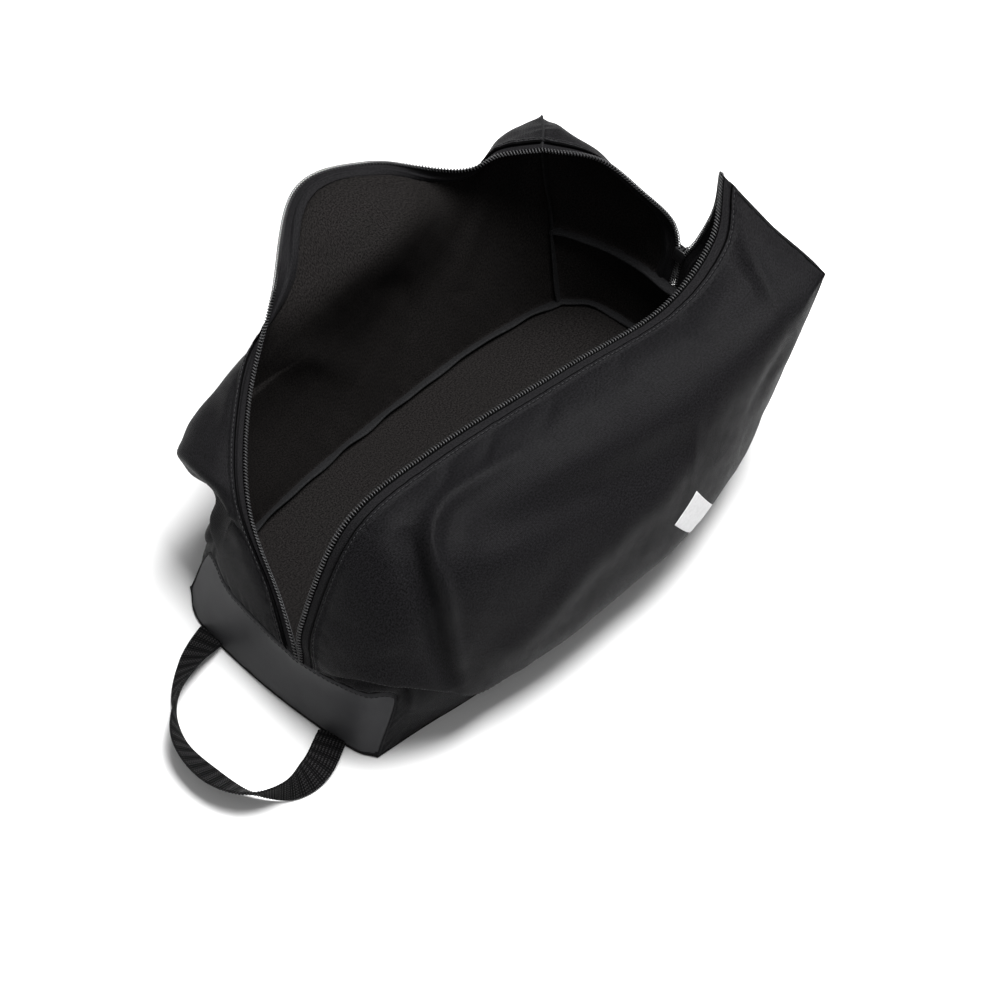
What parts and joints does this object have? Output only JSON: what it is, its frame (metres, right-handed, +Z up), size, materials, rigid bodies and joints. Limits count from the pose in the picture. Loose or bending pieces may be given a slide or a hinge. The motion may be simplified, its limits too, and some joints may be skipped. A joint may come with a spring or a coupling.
{
  "type": "shoe bag",
  "caption": "Soft zipped shoe bag standing open on its coated base, with coated end panels, a full length coil zip, slider and puller, and a webbing loop handle at one end.",
  "frame": {"origin": "middle of the base, on the ground", "axes": "+X from the handle end to the zip slider end, -Y is the front with the white patch, +Z up"},
  "size_m": [0.4895, 0.3304, 0.1757],
  "materials": {
    "body_cloth": "black plain weave polyester with a faint sheen",
    "coated_cloth": "dark grey coated cloth, smooth and slightly glossy",
    "binding_tape": "matt black tape",
    "zip_tape": "matt black herringbone tape",
    "zip_coil": "black nylon coil",
    "webbing": "ribbed black polypropylene webbing",
    "slider_metal": "black painted zinc",
    "patch_print": "plain white heat transfer"
  },
  "bodies": {
    "bag": {"base_panel": "coated_cloth", "near_end_panel": "coated_cloth", "far_end_panel": "coated_cloth", "near_seam_binding": "binding_tape", "far_seam_binding": "binding_tape", "front_roof": "body_cloth", "front_wall": "body_cloth", "back_roof": "body_cloth", "back_wall": "body_cloth", "front_far_gusset": "body_cloth", "back_far_gusset": "body_cloth", "zip_coil_front": "zip_coil", "zip_tape_front": "zip_tape", "far_corner_binding_front": "binding_tape", "zip_coil_back": "zip_coil", "zip_tape_back": "zip_tape", "far_corner_binding_back": "binding_tape", "front_patch": "patch_print", "zip_bottom_stop": "slider_metal"},
    "zip_slider": {"zip_slider": "slider_metal"},
    "zip_puller": {"zip_puller": "slider_metal"},
    "handle": {"handle_webbing": "webbing"}
  },
  "joints": [
    {"name": "zip_slide", "type": "slide", "parent": "bag", "child": "zip_slider", "axis": [0.2425, 0, 0.9701], "range_m": [0, 0.015]},
    {"name": "puller_swing", "type": "hinge", "parent": "zip_slider", "child": "zip_puller", "pos_m": [0.20804, 0.0116, 0.08259], "axis": [0, -1, 0], "range_deg": [0, 150]},
    {"name": "handle_swing", "type": "hinge", "parent": "bag", "child": "handle", "pos_m": [-0.1945, -0.0025, 0.0045], "axis": [0, 1, 0], "range_deg": [0, 65]}
  ]
}
